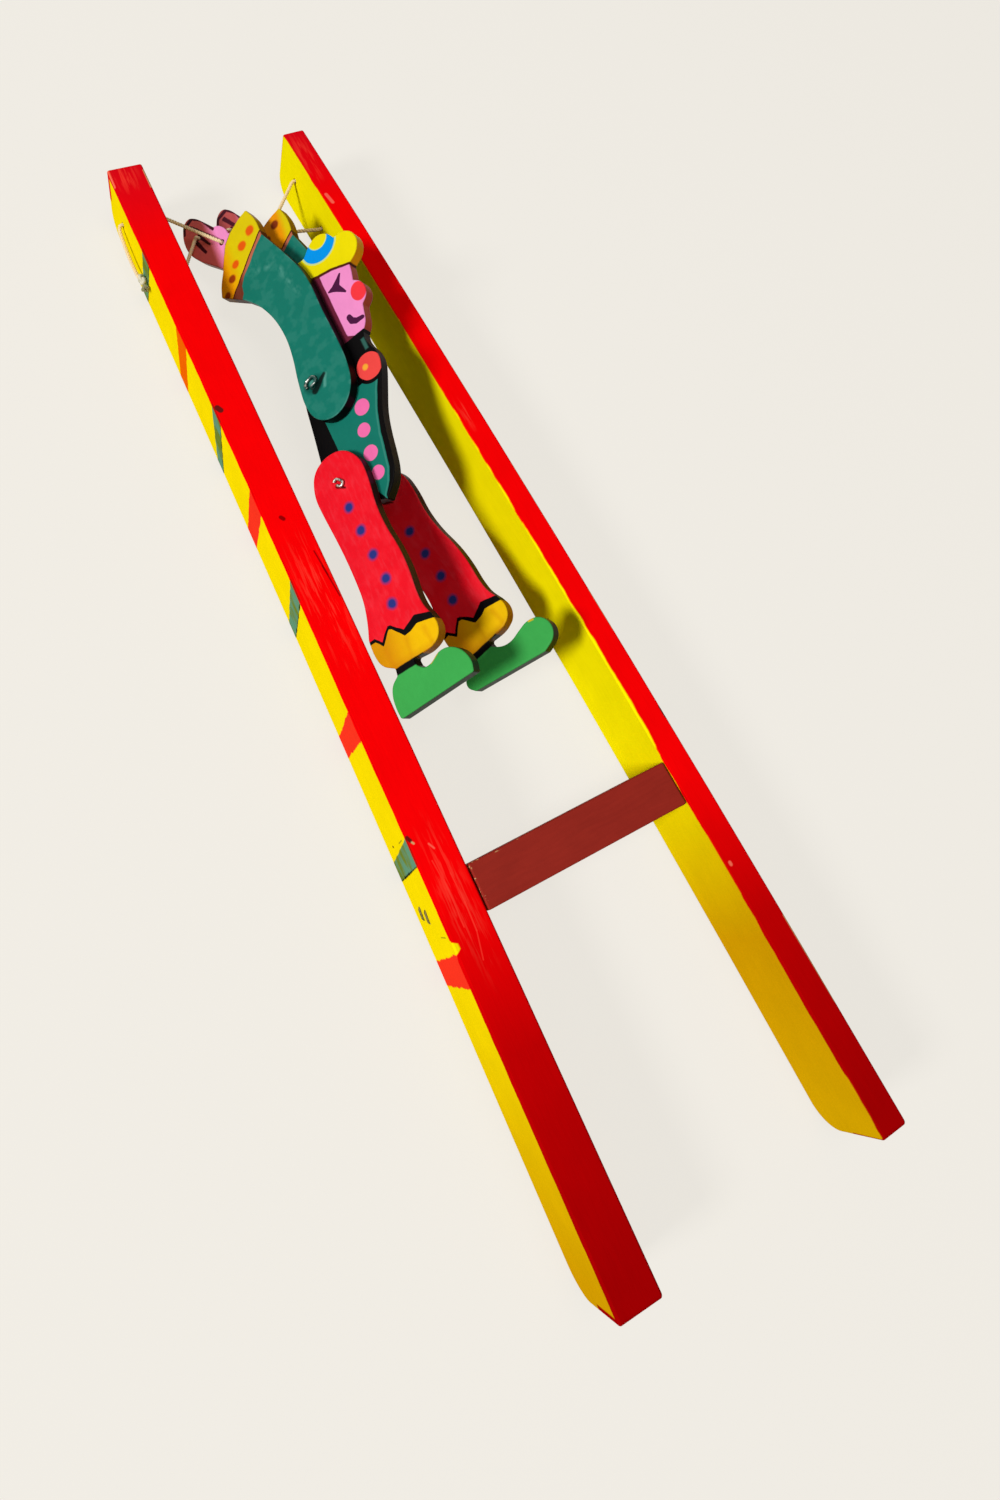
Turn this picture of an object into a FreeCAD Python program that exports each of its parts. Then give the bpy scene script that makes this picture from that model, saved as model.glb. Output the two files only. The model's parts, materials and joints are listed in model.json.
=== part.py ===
"""Acrobat toy: a jointed clown on a looped string between two squeeze rails.

Millimetres. The toy lies on its back on a table, as in the photograph: +Z is up, the rails run
along Y with the string at the +Y end, and the crossbar lies along X. The origin is on the table,
midway between the rails and halfway along them.
The clown lies slanted between the rails. Its flat pieces share one tilted frame: x across the
figure towards its face, y up the figure towards its hands, z out of the near side.
"""
import FreeCAD
import Part
import math
import os

V = FreeCAD.Vector
Rotation = FreeCAD.Rotation
Placement = FreeCAD.Placement

# Rails
RAIL_LENGTH = 340.0
RAIL_HEIGHT = 25.0
LEFT_RAIL_THICKNESS = 11.6
RIGHT_RAIL_THICKNESS = 7.7
RAIL_CENTRE_SPACING = 67.6
RAIL_TAPER_DEG = 1.24
LEFT_RAIL_BOW = 0.5
RIGHT_RAIL_BOW = 2.0
RAIL_STAGGER = 1.2
RAIL_LOW_CORNER_RADIUS = 7.0
RAIL_TOP_CORNER_RADIUS = 1.2
RAIL_EDGE_RADIUS = 0.6

# Crossbar and the staples that hold it
CROSSBAR_Y = -77.7
CROSSBAR_DEPTH = 12.0
CROSSBAR_HEIGHT = 25.0
CROSSBAR_END_GAP = 0.45
CROSSBAR_EDGE_RADIUS = 0.5
STAPLE_WIRE = 0.9
STAPLE_CROWN = 4.4
STAPLE_BEND = 0.8
STAPLE_TILT_DEG = 77.0
STAPLE_BITE = 6.0
STAPLE_PROUD = 0.55
STAPLE_ROCKING_CLEARANCE = 0.3
STAPLE_PLACES = [(-77.8, 7.4), (-79.0, 12.2)]

# How the figure lies: its hip pin on the near face, then its roll and pitch
HIP_POINT = V(-14.4, 36.0, 27.9)
FIGURE_ROLL_DEG = 44.3
FIGURE_PITCH_DEG = 6.8
FAR_LEG_TURN_DEG = 11.1
FAR_ARM_TURN_DEG = -5.9

# Flat pieces, stacked along the pins
ARM_THICKNESS = 4.0
TORSO_THICKNESS = 4.0
LEG_THICKNESS = 4.0
LAYER_GAP = 0.3
FAR_LEG_SLACK = 16.5
PLATE_EDGE_RADIUS = 0.4
OUTLINE_CORNER_RADIUS = 0.7
WIDEST_REACH = 0.495

# Pins of bent wire
PIN_WIRE = 0.9
PIN_CLEARANCE = 0.08
PIN_BEND = 0.7
PIN_LOOP_LIFT = 0.25
PIN_LOOP_BACK = 1.05
HIP_PIN = (-0.9, -0.2)
HIP_LOOP_REACH = 2.0
HIP_LOOP_WIDTH = 1.8
HIP_LOOP_TURN_DEG = -48.0
SHOULDER_PIN = (4.4, 32.4)
SHOULDER_LOOP_REACH = 2.9
SHOULDER_LOOP_WIDTH = 2.6
SHOULDER_LOOP_TURN_DEG = 12.0

# String
STRING_DIAMETER = 1.2
STRING_HOLE = 2.2
STRING_BEND = 1.2
STRING_RAIL_BEND = 1.5
STRING_STANDOFF = 0.75
STRING_LIFT = 1.0
KNOT_RADIUS = 1.9
KNOT_PLACE = (136.9, 12.2)
KNOT_STANDOFF = 1.95
LEFT_HOLE_UPPER = (157.0, 13.5)
LEFT_HOLE_LOWER = (134.5, 12.0)
RIGHT_HOLE_UPPER = (157.8, 13.8)
RIGHT_HOLE_LOWER = (136.5, 12.0)
HAND_HOLE_TIP = (-11.8, 111.8)
HAND_HOLE_THUMB = (-4.1, 102.6)

# Outlines in the figure's frame: each list is one smooth run that ends where the next begins.
ARM_OUTLINE = [
    [(10.3, 93.2), (13.9, 83.3), (17.6, 71.5), (18.5, 63.5), (18.2, 54.0), (18.6, 43.0), (18.6, 33.0),
     (17.2, 25.8), (13.9, 21.3), (9.0, 19.1), (4.2, 20.0), (0.8, 23.4), (-0.3, 29.0), (0.7, 37.5),
     (2.6, 46.0), (3.3, 54.0), (2.2, 63.0), (-0.9, 71.2), (-4.9, 76.9)],
    [(-4.9, 76.9), (-8.3, 80.2), (-12.4, 84.2)],
    [(-12.4, 84.2), (-11.0, 88.2), (-7.6, 93.3)],
    [(-7.6, 93.3), (-11.2, 98.4), (-15.2, 104.0), (-17.8, 109.6), (-18.0, 115.8), (-15.9, 121.1),
     (-12.8, 122.5), (-9.9, 119.8), (-7.3, 115.2), (-5.0, 110.9)],
    [(-5.0, 110.9), (-2.9, 109.8), (-0.9, 106.6), (-0.6, 103.2)],
    [(-0.6, 103.2), (4.3, 105.2), (8.7, 106.0)],
    [(8.7, 106.0), (10.6, 100.0), (10.3, 93.2)],
]
TORSO_OUTLINE = [
    [(14.8, 77.6), (18.0, 76.7), (21.2, 79.6), (25.0, 81.0), (28.7, 79.2), (30.3, 75.3)],
    [(30.3, 75.3), (33.3, 75.4), (36.3, 73.0), (37.2, 69.2), (35.4, 65.2), (31.2, 63.3)],
    [(31.2, 63.3), (30.7, 60.4), (29.8, 57.4)],
    [(29.8, 57.4), (31.7, 55.7), (32.6, 52.8), (31.8, 49.8), (29.3, 48.1)],
    [(29.3, 48.1), (28.6, 45.6), (27.8, 42.4), (25.4, 39.8)],
    [(25.4, 39.8), (24.9, 37.6), (25.4, 35.0)],
    [(25.4, 35.0), (26.5, 32.0), (26.6, 28.4), (25.4, 25.2), (22.8, 19.8), (20.1, 14.2), (18.4, 8.0),
     (17.3, 2.0), (16.2, -3.0), (14.4, -7.0), (9.9, -10.9)],
    [(9.9, -10.9), (6.6, -9.2), (1.5, -9.2), (-3.6, -7.4), (-6.4, -2.6), (-6.6, 4.0), (-5.2, 12.5),
     (-3.5, 23.5), (-2.4, 32.0), (-0.4, 38.0), (4.2, 42.6), (9.8, 43.6)],
    [(9.8, 43.6), (8.4, 49.0), (8.0, 56.0), (8.8, 63.6)],
    [(8.8, 63.6), (7.0, 68.0), (8.4, 74.6), (14.8, 77.6)],
]
LEG_UPPER = [
    [(9.4, -48.6), (8.2, -45.2), (8.1, -41.0), (8.9, -34.5), (8.9, -27.5), (7.7, -19.0), (7.8, -11.5),
     (9.1, -4.5), (9.3, 3.4), (5.1, 9.2), (-1.4, 10.3), (-6.9, 7.9), (-9.5, 1.5), (-9.1, -6.0),
     (-8.2, -15.0), (-7.7, -25.0), (-7.9, -35.0), (-9.6, -41.4), (-11.2, -45.4)],
    [(-11.2, -45.4), (-11.5, -49.8), (-10.6, -53.9), (-7.0, -56.2)],
    [(-7.0, -56.2), (-7.3, -58.3)],
]
NEAR_SHOE = [
    [(-7.3, -58.3), (-9.9, -59.8), (-11.2, -62.6), (-11.5, -66.0), (-11.2, -69.0)],
    [(-11.2, -69.0), (13.5, -68.0)],
    [(13.5, -68.0), (14.3, -65.2), (13.2, -61.4), (10.2, -58.8), (6.6, -58.4), (3.6, -60.2),
     (1.0, -60.4), (-0.7, -58.5)],
]
FAR_SHOE = [
    [(-7.3, -58.3), (-10.4, -59.2), (-13.2, -60.6), (-13.9, -62.8), (-12.3, -64.9)],
    [(-12.3, -64.9), (10.8, -69.8)],
    [(10.8, -69.8), (15.2, -68.7), (17.2, -65.2), (15.8, -61.2), (12.0, -59.7), (8.2, -60.4),
     (5.0, -61.2), (1.8, -60.6), (-0.7, -58.5)],
]
LEG_RUFFLE = [
    [(-0.7, -58.5), (-0.9, -56.4)],
    [(-0.9, -56.4), (4.6, -56.9), (8.6, -55.3), (10.1, -51.9), (9.4, -48.6)],
]

# Heights of the layers along the figure's own z
BODY_FACE = -(ARM_THICKNESS + LAYER_GAP)
BODY_BACK = BODY_FACE - TORSO_THICKNESS
FAR_ARM_FACE = BODY_BACK - LAYER_GAP
FAR_ARM_BACK = FAR_ARM_FACE - ARM_THICKNESS
FAR_LEG_FACE = BODY_BACK - FAR_LEG_SLACK
FAR_LEG_BACK = FAR_LEG_FACE - LEG_THICKNESS

figure = Placement(HIP_POINT, Rotation(V(0, 1, 0), -FIGURE_ROLL_DEG) * Rotation(V(1, 0, 0), -FIGURE_PITCH_DEG))


def save(node, shape):
    """Write one node's solids to its own file."""
    shape.exportStep("parts/" + node + ".step")
    low = shape.BoundBox
    print(node, len(shape.Solids), "volume %.1f" % shape.Volume, "valid", shape.isValid(),
          "x %.2f %.2f y %.2f %.2f z %.2f %.2f" % (low.XMin, low.XMax, low.YMin, low.YMax, low.ZMin, low.ZMax))


# Rails: side is -1 for the left rail and +1 for the right one
def rail_thickness(side):
    return LEFT_RAIL_THICKNESS if side < 0 else RIGHT_RAIL_THICKNESS


def rail_bow(side):
    return LEFT_RAIL_BOW if side < 0 else RIGHT_RAIL_BOW


def rail_frame(side):
    """The rail's own frame: x across its thickness, y along it."""
    return Placement(V(side * RAIL_CENTRE_SPACING / 2, -side * RAIL_STAGGER / 2, 0),
                     Rotation(V(0, 0, 1), side * RAIL_TAPER_DEG))


def rail_x(side, face, along):
    """The rail's own x at a face (-1 outer, +1 inner) for a place along its bowed length."""
    bowed = rail_bow(side) * (1 - (2 * along / RAIL_LENGTH) ** 2)
    return bowed - side * face * rail_thickness(side) / 2


def rail_point(side, face, y, z, off=0.0):
    """A point near a rail's face; off is how far it stands out of the wood."""
    along = y + side * RAIL_STAGGER / 2
    return rail_frame(side).multVec(V(rail_x(side, face, along) - side * face * off, along, z))


def rail_across(side):
    """The direction through the rail's thickness, from its outer face to its inner face."""
    return rail_frame(side).Rotation.multVec(V(-side, 0, 0))


def bowed_side(side, face):
    """One long side of a plank that is a little longer than the finished rail."""
    reach = RAIL_LENGTH / 2 + RAIL_HEIGHT
    return Part.Arc(*[V(rail_x(side, face, y), y, -RAIL_HEIGHT) for y in (-reach, 0, reach)])


def rail_profile(low_radius, top_radius):
    """The rail seen from the side, with its rounded end corners, as a face in the YZ plane."""
    half = RAIL_LENGTH / 2
    corners = [(-half, 0, low_radius), (half, 0, low_radius), (half, RAIL_HEIGHT, top_radius),
               (-half, RAIL_HEIGHT, top_radius)]
    points = [V(0, y, z) for y, z, radius in corners]
    radii = [radius for y, z, radius in corners]
    return Part.Face(rounded_loop(points, radii))


def rounded_loop(points, radii):
    """A closed loop of straight runs whose corners are rounded by tangent arcs."""
    edges = []
    count = len(points)
    ends = []
    for i, corner in enumerate(points):
        back = (points[i - 1] - corner).normalize()
        on = (points[(i + 1) % count] - corner).normalize()
        half = back.getAngle(on) / 2
        reach = radii[i] / math.tan(half)
        middle = corner + (back + on).normalize() * (radii[i] / math.sin(half) - radii[i])
        ends.append((corner + back * reach, middle, corner + on * reach))
    for i, (start, middle, end) in enumerate(ends):
        edges.append(Part.Arc(start, middle, end).toShape())
        edges.append(Part.LineSegment(end, ends[(i + 1) % count][0]).toShape())
    return Part.Wire(edges)


def rail_blank(side):
    outer = bowed_side(side, -1)
    inner = bowed_side(side, 1)
    loop = Part.Wire([outer.toShape(), Part.LineSegment(outer.EndPoint, inner.EndPoint).toShape(),
                      inner.toShape(), Part.LineSegment(inner.StartPoint, outer.StartPoint).toShape()])
    plank = Part.Face(loop).extrude(V(0, 0, 3 * RAIL_HEIGHT))
    reach = rail_thickness(side) + rail_bow(side)
    profile = rail_profile(RAIL_LOW_CORNER_RADIUS, RAIL_TOP_CORNER_RADIUS)
    profile.translate(V(-reach, 0, 0))
    blank = plank.common(profile.extrude(V(2 * reach, 0, 0)))
    rims = [edge for edge in blank.Edges if edge.BoundBox.XLength < rail_thickness(side) / 2]
    blank = blank.makeFillet(RAIL_EDGE_RADIUS, rims)
    blank.Placement = rail_frame(side)
    return blank


def string_hole(side, place):
    start = rail_point(side, -1, place[0], place[1], RAIL_HEIGHT)
    return Part.makeCylinder(STRING_HOLE / 2, 3 * RAIL_HEIGHT, start, rail_across(side))


# Bent wire and string: straight runs joined by tangent arcs
def route(stops):
    """A path through (point, bend radius) stops; the radii of its two ends aren't used."""
    edges = []
    here = stops[0][0]
    for (before, _), (corner, bend), (after, _) in zip(stops, stops[1:], stops[2:]):
        back = (before - corner).normalize()
        on = (after - corner).normalize()
        half = back.getAngle(on) / 2
        reach = bend / math.tan(half)
        start = corner + back * reach
        end = corner + on * reach
        middle = corner + (back + on).normalize() * (bend / math.sin(half) - bend)
        if here.distanceToPoint(start) > 1e-6:
            edges.append(Part.LineSegment(here, start).toShape())
        edges.append(Part.Arc(start, middle, end).toShape())
        here = end
    edges.append(Part.LineSegment(here, stops[-1][0]).toShape())
    return Part.Wire(edges)


def tube(path, diameter):
    first = path.Edges[0]
    start = first.valueAt(first.FirstParameter)
    ring = Part.Wire(Part.makeCircle(diameter / 2, start, first.tangentAt(first.FirstParameter)))
    solid = path.makePipeShell([ring], True, False)
    if not solid.Solids:
        solid = Part.makeSolid(solid)
    ideal = path.Length * math.pi * diameter ** 2 / 4
    print("tube length %.1f, volume over section times length %.4f" % (path.Length, solid.Volume / ideal))
    return solid


# Staples, driven through each rail into the crossbar's end
def staple_legs(side, place):
    """The two points on the outer face where a staple's legs go in."""
    lean = math.radians(STAPLE_TILT_DEG)
    half = (STAPLE_CROWN - STAPLE_WIRE) / 2
    y, z = place
    return [(y + half * math.sin(lean), z + half * math.cos(lean)),
            (y - half * math.sin(lean), z - half * math.cos(lean))]


def staple(side, place):
    proud = STAPLE_PROUD - STAPLE_WIRE / 2
    depth = rail_thickness(side) + CROSSBAR_END_GAP + STAPLE_BITE
    heads = [rail_point(side, -1, y, z, proud) for y, z in staple_legs(side, place)]
    tips = [head + rail_across(side) * (depth + proud) for head in heads]
    stops = [(tips[0], 0), (heads[0], STAPLE_BEND), (heads[1], STAPLE_BEND), (tips[1], 0)]
    return tube(route(stops), STAPLE_WIRE)


def staple_room(side, place):
    """Loose holes in the crossbar's end, in which the staple's legs give as the rail rocks."""
    radius = STAPLE_WIRE / 2 + STAPLE_ROCKING_CLEARANCE
    length = CROSSBAR_END_GAP + STAPLE_BITE + STAPLE_ROCKING_CLEARANCE
    holes = [Part.makeCylinder(radius, length, rail_point(side, 1, y, z), rail_across(side))
             for y, z in staple_legs(side, place)]
    return holes


def crossbar_blank():
    near = CROSSBAR_Y - CROSSBAR_DEPTH / 2
    far = CROSSBAR_Y + CROSSBAR_DEPTH / 2
    corners = [rail_point(-1, 1, near, 0, CROSSBAR_END_GAP), rail_point(1, 1, near, 0, CROSSBAR_END_GAP),
               rail_point(1, 1, far, 0, CROSSBAR_END_GAP), rail_point(-1, 1, far, 0, CROSSBAR_END_GAP)]
    block = Part.Face(Part.makePolygon(corners + corners[:1])).extrude(V(0, 0, CROSSBAR_HEIGHT))
    return block.makeFillet(CROSSBAR_EDGE_RADIUS, block.Edges)


# Flat cut-out pieces of the figure
def outline(runs):
    """A closed outline of tangent arcs: tight ones where runs meet, and wide ones within a run."""
    points = [V(x, y, 0) for run in runs for x, y in run[:-1]]
    ends = [i for run in runs for i in [0] + [1] * (len(run) - 2)]
    radii = []
    for i, corner in enumerate(points):
        back = points[i - 1] - corner
        on = points[(i + 1) % len(points)] - corner
        half = back.getAngle(on) / 2
        widest = min(back.Length, on.Length) * WIDEST_REACH * math.tan(half)
        radii.append(widest if ends[i] else min(widest, OUTLINE_CORNER_RADIUS))
    return rounded_loop(points, radii)


def pin_hole(place, back, face):
    radius = PIN_WIRE / 2 + PIN_CLEARANCE
    return Part.makeCylinder(radius, face - back + 2, V(place[0], place[1], back - 1))


def hand_hole(place, back, face):
    return Part.makeCylinder(STRING_HOLE / 2, face - back + 2, V(place[0], place[1], back - 1))


def plate(runs, face, thickness, holes):
    blank = Part.Face(outline(runs)).extrude(V(0, 0, -thickness))
    blank.translate(V(0, 0, face))
    rims = [edge for edge in blank.Edges
            if edge.BoundBox.ZLength < thickness / 10]
    blank = blank.makeFillet(PLATE_EDGE_RADIUS, rims)
    return blank.cut(holes)


def turned(place, pivot, degrees):
    """A place in the figure's frame after a turn about a pin."""
    spin = Rotation(V(0, 0, 1), degrees)
    moved = spin.multVec(V(place[0] - pivot[0], place[1] - pivot[1], 0))
    return (moved.x + pivot[0], moved.y + pivot[1])


def arm(face, degrees):
    back = face - ARM_THICKNESS
    holes = [pin_hole(SHOULDER_PIN, back, face), hand_hole(HAND_HOLE_TIP, back, face),
             hand_hole(HAND_HOLE_THUMB, back, face)]
    shape = plate(ARM_OUTLINE, face, ARM_THICKNESS, holes)
    shape.rotate(V(SHOULDER_PIN[0], SHOULDER_PIN[1], 0), V(0, 0, 1), degrees)
    return in_place(shape)


def leg(shoe, face, degrees):
    hole = pin_hole(HIP_PIN, face - LEG_THICKNESS, face)
    shape = plate(LEG_UPPER + shoe + LEG_RUFFLE, face, LEG_THICKNESS, [hole])
    shape.rotate(V(HIP_PIN[0], HIP_PIN[1], 0), V(0, 0, 1), degrees)
    return in_place(shape)


def in_place(shape):
    """The same shape moved from the figure's frame to where the figure lies."""
    moved = shape.copy()
    moved.Placement = figure.multiply(moved.Placement)
    return moved


def loop_end(place, face, out, reach, width, turn_deg):
    """The stops of a wire's curled end, from the shank outwards; out is +1 or -1 along the pin."""
    spin = Rotation(V(0, 0, 1), turn_deg)
    height = face + out * (PIN_LOOP_LIFT + PIN_WIRE / 2)
    flat = [(0, 0, PIN_BEND), (reach, 0, width / 2), (reach, width, width / 2),
            (-PIN_LOOP_BACK, width, width / 2), (-PIN_LOOP_BACK, PIN_WIRE * 0.6, 0)]
    stops = []
    for across, up, bend in flat:
        spot = spin.multVec(V(across, up, 0))
        stops.append((V(place[0] + spot.x, place[1] + spot.y, height), bend))
    return stops


def pin(place, top_face, bottom_face, reach, width, turn_deg):
    top = loop_end(place, top_face, 1, reach, width, turn_deg)
    bottom = loop_end(place, bottom_face, -1, reach, width, turn_deg)
    return in_place(tube(route(list(reversed(top)) + bottom), PIN_WIRE))


# String: one closed loop through both rails and both hands, tied outside the left rail
def hand_stop(place, height):
    return (figure.multVec(V(place[0], place[1], height)), STRING_BEND)


def rail_stop(side, face, place, off):
    return (rail_point(side, face, place[0], place[1], off), STRING_RAIL_BEND)


def string_strand(left_hole, hand_hole_place, right_hole):
    """The stops of one strand, from outside the left rail to outside the right rail."""
    far_place = turned(hand_hole_place, SHOULDER_PIN, FAR_ARM_TURN_DEG)
    between = STRING_STANDOFF + STRING_DIAMETER / 10
    return [rail_stop(-1, -1, left_hole, STRING_STANDOFF),
            rail_stop(-1, 1, left_hole, STRING_LIFT),
            hand_stop(hand_hole_place, STRING_LIFT),
            hand_stop(hand_hole_place, -ARM_THICKNESS - between),
            hand_stop(far_place, FAR_ARM_FACE + between),
            hand_stop(far_place, FAR_ARM_BACK - STRING_LIFT),
            rail_stop(1, 1, right_hole, STRING_LIFT),
            rail_stop(1, -1, right_hole, STRING_STANDOFF)]


def string_loop():
    """The whole string: both strands, the runs over the rails' outer faces, and the knot."""
    lower = string_strand(LEFT_HOLE_LOWER, HAND_HOLE_TIP, RIGHT_HOLE_LOWER)
    upper = string_strand(LEFT_HOLE_UPPER, HAND_HOLE_THUMB, RIGHT_HOLE_UPPER)
    start = rail_point(-1, -1, KNOT_PLACE[0] - KNOT_RADIUS / 4, KNOT_PLACE[1], STRING_STANDOFF)
    end = rail_point(-1, -1, KNOT_PLACE[0] + KNOT_RADIUS / 4, KNOT_PLACE[1], STRING_STANDOFF)
    path = route([(start, 0)] + lower + list(reversed(upper)) + [(end, 0)])
    knot = Part.makeSphere(KNOT_RADIUS, rail_point(-1, -1, KNOT_PLACE[0], KNOT_PLACE[1], KNOT_STANDOFF))
    return tube(path, STRING_DIAMETER).fuse(knot)


os.makedirs("parts", exist_ok=True)

for side, name, holes in [(-1, "left", (LEFT_HOLE_UPPER, LEFT_HOLE_LOWER)),
                          (1, "right", (RIGHT_HOLE_UPPER, RIGHT_HOLE_LOWER))]:
    staples = [staple(side, place) for place in STAPLE_PLACES]
    rail = rail_blank(side).cut([string_hole(side, place) for place in holes] + staples)
    save(name + "_rail", rail)
    save(name + "_staples", Part.makeCompound(staples))

loose = [hole for side in (-1, 1) for place in STAPLE_PLACES for hole in staple_room(side, place)]
save("crossbar", crossbar_blank().cut(loose))

save("near_arm", arm(0.0, 0.0))
save("far_arm", arm(FAR_ARM_FACE, FAR_ARM_TURN_DEG))
torso_holes = [pin_hole(SHOULDER_PIN, BODY_BACK, BODY_FACE), pin_hole(HIP_PIN, BODY_BACK, BODY_FACE)]
save("torso_and_head", in_place(plate(TORSO_OUTLINE, BODY_FACE, TORSO_THICKNESS, torso_holes)))
save("near_leg", leg(NEAR_SHOE, 0.0, 0.0))
save("far_leg", leg(FAR_SHOE, FAR_LEG_FACE, FAR_LEG_TURN_DEG))
save("shoulder_wire", pin(SHOULDER_PIN, 0.0, FAR_ARM_BACK, SHOULDER_LOOP_REACH, SHOULDER_LOOP_WIDTH,
                          SHOULDER_LOOP_TURN_DEG))
save("hip_wire", pin(HIP_PIN, 0.0, FAR_LEG_BACK, HIP_LOOP_REACH, HIP_LOOP_WIDTH, HIP_LOOP_TURN_DEG))
save("string", string_loop())

for label, place, height in [("hip", HIP_PIN, -LEG_THICKNESS), ("shoulder", SHOULDER_PIN, BODY_FACE)]:
    spot = figure.multVec(V(place[0], place[1], height))
    print(label, "pin at %.3f %.3f %.3f" % tuple(spot))
hands = [(HAND_HOLE_TIP[i] + HAND_HOLE_THUMB[i]) / 2 for i in (0, 1)]
spot = figure.multVec(V(hands[0], hands[1], (FAR_ARM_BACK) / 2))
print("hands at %.3f %.3f %.3f" % tuple(spot))
for label, direction in [("pins", V(0, 0, 1)), ("figure", V(0, 1, 0)), ("face", V(1, 0, 0))]:
    way = figure.Rotation.multVec(direction)
    print(label, "direction %.5f %.5f %.5f" % tuple(way))
for side, name in [(-1, "left"), (1, "right")]:
    spot = rail_point(side, 1, CROSSBAR_Y, 0)
    print(name, "rail rocks at %.3f %.3f" % (spot.x, spot.y))
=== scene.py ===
"""Acrobat toy: hand-painted wood, bent wire and string round the fixed frame.

Metres, in the frame's axes. Painted figures are placed in millimetres on each cut-out's own plane:
x across the clown towards its face, y up the clown towards its hands, z out of its near side.
"""
import json
import math
import random

import bmesh
import bpy
from mathutils import Euler, Matrix, Vector


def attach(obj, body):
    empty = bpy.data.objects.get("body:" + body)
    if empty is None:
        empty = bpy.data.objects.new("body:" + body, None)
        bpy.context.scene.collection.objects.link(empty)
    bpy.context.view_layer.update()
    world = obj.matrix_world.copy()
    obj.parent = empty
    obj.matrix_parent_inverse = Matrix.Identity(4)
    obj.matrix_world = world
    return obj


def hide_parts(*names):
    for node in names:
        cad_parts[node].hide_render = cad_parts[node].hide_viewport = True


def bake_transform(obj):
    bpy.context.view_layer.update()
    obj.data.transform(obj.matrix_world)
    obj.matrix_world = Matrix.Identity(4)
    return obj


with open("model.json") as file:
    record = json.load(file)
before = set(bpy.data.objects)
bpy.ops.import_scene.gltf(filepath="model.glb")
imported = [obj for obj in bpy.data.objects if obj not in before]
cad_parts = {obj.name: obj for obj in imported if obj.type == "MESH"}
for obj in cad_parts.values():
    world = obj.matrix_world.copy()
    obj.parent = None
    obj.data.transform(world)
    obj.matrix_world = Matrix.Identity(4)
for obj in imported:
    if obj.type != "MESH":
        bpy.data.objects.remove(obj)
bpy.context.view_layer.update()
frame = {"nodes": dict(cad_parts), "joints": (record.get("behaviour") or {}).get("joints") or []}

MM = 0.001

# Places that the painted wood shares with the construction, in millimetres
BOARD = 4.0
LAYER_GAP = 0.3
HIP_PIN = Vector((-0.9, -0.2, -BOARD))
SHOULDER_PIN = (4.4, 32.4)
FAR_ARM_TURN = math.radians(-5.9)
FAR_LEG_TURN = math.radians(11.1)
TORSO_FACE = -(BOARD + LAYER_GAP)
FAR_ARM_FACE = TORSO_FACE - BOARD - LAYER_GAP
FAR_LEG_FACE = TORSO_FACE - BOARD - 16.5
RAIL_LENGTH = 340.0
RAIL_HEIGHT = 25.0
RAIL_LOW_CORNER = 7.0
RAIL_TOP_CORNER = 1.2
RAIL_CENTRE = 33.8
RAIL_STAGGER = 0.6
RAIL_TAPER = math.radians(1.24)
RAIL_BOW = {-1: 0.5, 1: 2.0}
RAIL_HALF = {-1: 5.8, 1: 3.85}


def paint(red, green, blue):
    """A paint's colour, from the 0 to 255 numbers of a paint chart, for a shader."""
    def linear(level):
        level /= 255
        return level / 12.92 if level <= 0.04045 else ((level + 0.055) / 1.055) ** 2.4
    return (linear(red), linear(green), linear(blue), 1.0)


RED = paint(252, 2, 5)
RED_DARKER_END = paint(158, 1, 3)
RED_SHADED_END = paint(212, 10, 26)
RED_EDGE = paint(132, 2, 5)
RED_WEAR_AND_GLINT = paint(255, 62, 48)
RED_SCRATCH = paint(255, 104, 84)
YELLOW = {-1: paint(248, 221, 3), 1: paint(248, 232, 2)}
YELLOW_DARKER_END = paint(208, 155, 2)
BAND_GREEN = paint(98, 148, 118)
BAND_OLIVE = paint(110, 128, 44)
BAND_EDGE = paint(22, 30, 16)
BAND_ORANGE = paint(240, 101, 2)
BAND_RED = paint(250, 54, 33)
CROSSBAR_RED = paint(152, 42, 31)
CROSSBAR_DARK = paint(122, 29, 23)
TEAL = paint(19, 108, 93)
PALE_TEAL = paint(78, 146, 132)
DEEP_TEAL = paint(8, 62, 55)
BLACK = paint(4, 3, 4)
CUFF_YELLOW = paint(206, 184, 8)
CUFF_SHADOWED = paint(222, 132, 4)
MUSTARD = paint(150, 96, 6)
CUFF_DOT = paint(216, 84, 12)
SALMON = paint(176, 96, 72)
BROWN = paint(72, 24, 10)
PINK = paint(226, 134, 188)
PINK_SHADOWED = paint(212, 88, 66)
MAROON = paint(66, 14, 30)
FACE_SHADOW = paint(98, 30, 50)
SKIN_SIDE = paint(180, 76, 52)
HAT_YELLOW = paint(220, 204, 3)
HAT_SIDE = paint(240, 158, 3)
HAT_BLUE = paint(2, 138, 218)
HAT_TRIM = paint(186, 206, 136)
EYE_PURPLE = paint(70, 20, 58)
NOSE_RED = paint(230, 52, 60)
COLLAR_CORAL = paint(224, 68, 64)
COLLAR_DOT = paint(232, 160, 50)
BUTTON_PINK = paint(226, 103, 160)
LEG_RED = paint(220, 18, 34)
LEG_PALE = paint(222, 50, 62)
LEG_SIDE = paint(46, 2, 4)
LEG_DOT = paint(38, 48, 118)
RUFFLE = paint(224, 176, 3)
RUFFLE_SHADE = paint(186, 112, 4)
SHOE_GREEN = paint(56, 156, 72)
SHOE_SIDE = paint(13, 40, 13)
CHIP = paint(70, 26, 22)
WORN_PINK = paint(240, 112, 84)
PALE_CHIP = paint(206, 176, 120)
STEEL = paint(198, 196, 190)
TARNISH = paint(84, 78, 66)
OLIVE = paint(104, 92, 24)
BACKDROP = paint(241, 237, 229)
FLOOR = paint(170, 167, 161)


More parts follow.
